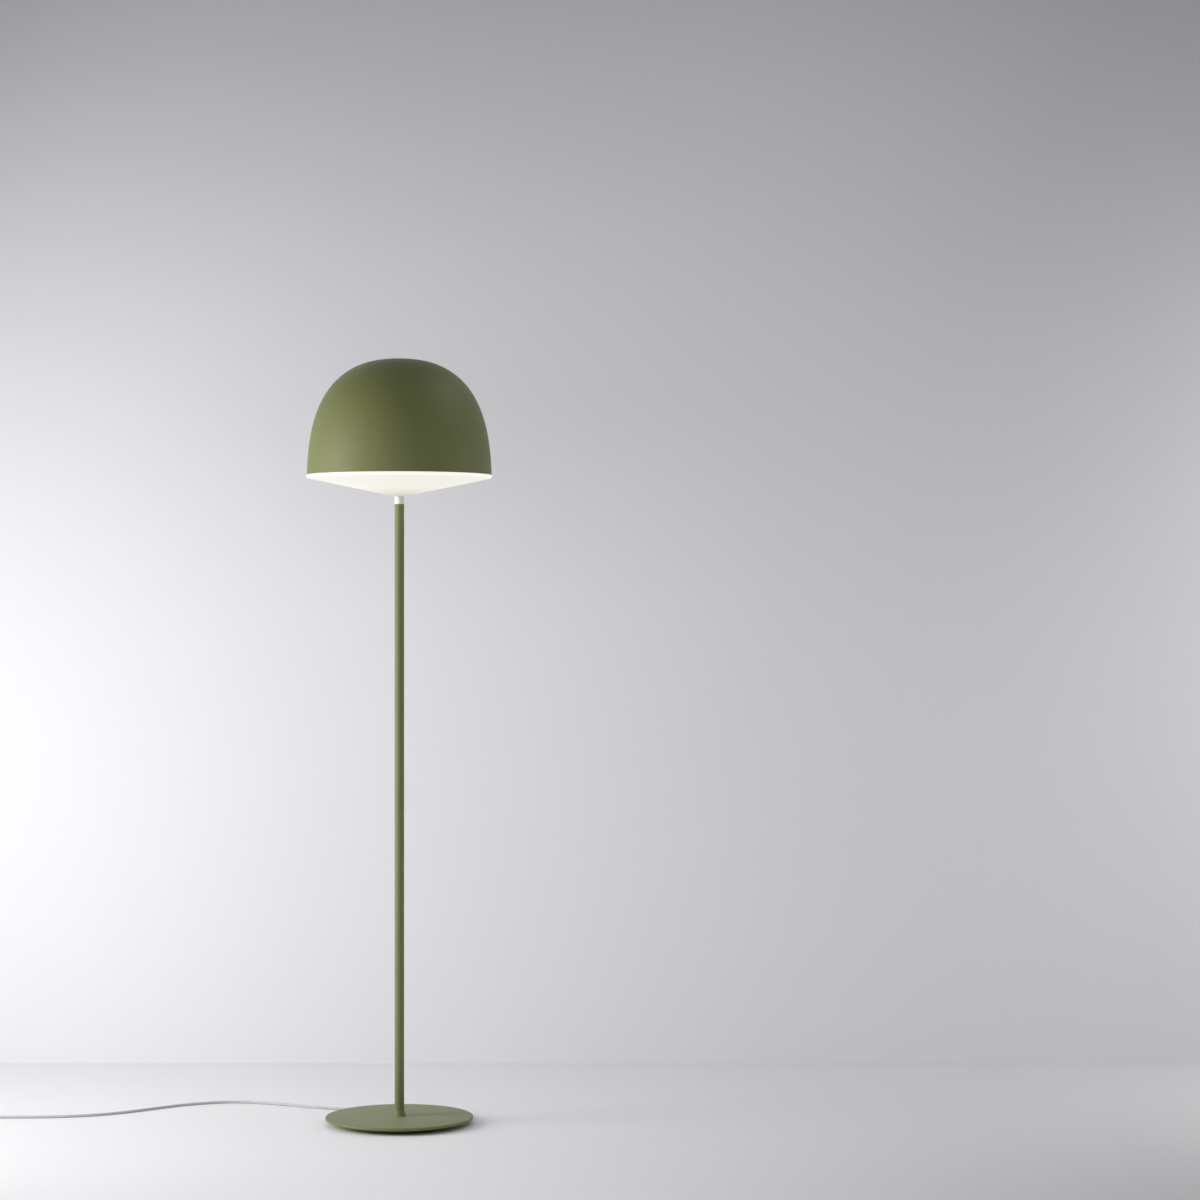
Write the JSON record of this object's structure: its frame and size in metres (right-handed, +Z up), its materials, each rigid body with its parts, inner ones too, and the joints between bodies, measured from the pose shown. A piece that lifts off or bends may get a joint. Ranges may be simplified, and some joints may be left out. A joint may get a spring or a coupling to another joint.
{
  "type": "floor lamp",
  "caption": "Floor lamp with a round weighted base, a straight tube stem, an opal dish diffuser, a lift-off dome shade and a foot switch on its mains cord.",
  "frame": {"origin": "centre of the base's underside, on the floor", "axes": "+Z up the stem; the cord leaves the base at the rear left, 120 degrees from +X, and runs to -X"},
  "size_m": [1.1581, 0.4145, 1.4473],
  "materials": {
    "green_paint": "satin powder coat",
    "dark_paint": "matte powder coat",
    "white_paint": "satin enamel",
    "opal": "opal, lit from inside",
    "white_plastic": "satin",
    "clear_plastic": "translucent",
    "grey_plastic": "satin",
    "black_plastic": "matte",
    "rubber": "matte",
    "silicone": "matte",
    "tie": "woven",
    "zinc": "zinc plated",
    "brass": "satin",
    "nickel": "nickel plated",
    "ceramic": "glazed",
    "black_glass": "gloss",
    "grey_cord": "smooth sheath",
    "brown_wire": "smooth",
    "blue_wire": "smooth"
  },
  "bodies": {
    "stand": {"base_plate": "green_paint", "base_foot": "dark_paint", "foot_screw_1": "zinc", "foot_screw_2": "zinc", "foot_screw_3": "zinc", "floor_ring": "rubber", "under_cover": "rubber", "stem_flange": "zinc", "flange_screw_1": "zinc", "flange_screw_2": "zinc", "flange_screw_3": "zinc", "cord_gland": "grey_plastic", "cord_clip": "white_plastic", "clip_screw": "zinc", "mains_lead": "grey_cord", "stem_tube": "green_paint", "stem_collar": "green_paint", "stem_top_bush": "brass", "threaded_nipple": "zinc", "neck_spacer": "white_paint", "dish": "opal", "centring_tab_1": "clear_plastic", "centring_tab_2": "clear_plastic", "centring_tab_3": "clear_plastic", "dish_gasket": "silicone", "dish_disc": "white_paint", "lock_nut": "zinc", "holder_cap": "white_plastic", "holder_shell": "white_plastic", "holder_insert": "ceramic", "holder_sleeve": "nickel", "centre_contact": "brass", "side_contact": "brass", "terminal_screw_1": "brass", "terminal_screw_2": "brass", "live_wire": "brown_wire", "neutral_wire": "blue_wire", "cord_to_switch": "grey_cord", "switch_base": "grey_plastic", "switch_cover": "grey_plastic", "switch_screw_1": "zinc", "switch_screw_2": "zinc", "switch_block": "black_plastic", "switch_spring": "zinc", "switch_relief_in": "grey_plastic", "switch_relief_out": "grey_plastic", "cord_to_coil": "grey_cord", "cord_coil": "grey_cord", "cord_tie": "tie", "cord_to_plug": "grey_cord", "plug_relief": "grey_plastic", "plug_body": "grey_plastic", "plug_pin_1": "nickel", "plug_pin_2": "nickel"},
    "bulb_carrier": {"bulb_tip": "brass"},
    "bulb": {"bulb_insulator": "black_glass", "bulb_cap": "nickel", "bulb_globe": "opal"},
    "shade": {"shade_dome": "green_paint"},
    "button": {"switch_button": "white_plastic"}
  },
  "joints": [
    {"name": "shade_lift", "type": "slide", "parent": "stand", "child": "shade", "axis": [0, 0, 1], "range_m": [0, 0.25]},
    {"name": "bulb_rise", "type": "slide", "parent": "stand", "child": "bulb_carrier", "axis": [0, 0, 1], "range_m": [0, 0.0109]},
    {"name": "bulb_turn", "type": "hinge", "parent": "bulb_carrier", "child": "bulb", "pos_m": [0, 0, 1.24], "axis": [0, 0, 1], "range_deg": [0, 1080]},
    {"name": "switch_press", "type": "slide", "parent": "stand", "child": "button", "axis": [0, 0, -1], "range_m": [0, 0.0025], "stiffness_N_per_m": 500, "springref_m": -0.002, "deforming": ["switch_spring"]}
  ],
  "couplings": [
    {"joint": "bulb_rise", "follows": "bulb_turn", "m_per_rad": 0.00057755}
  ]
}
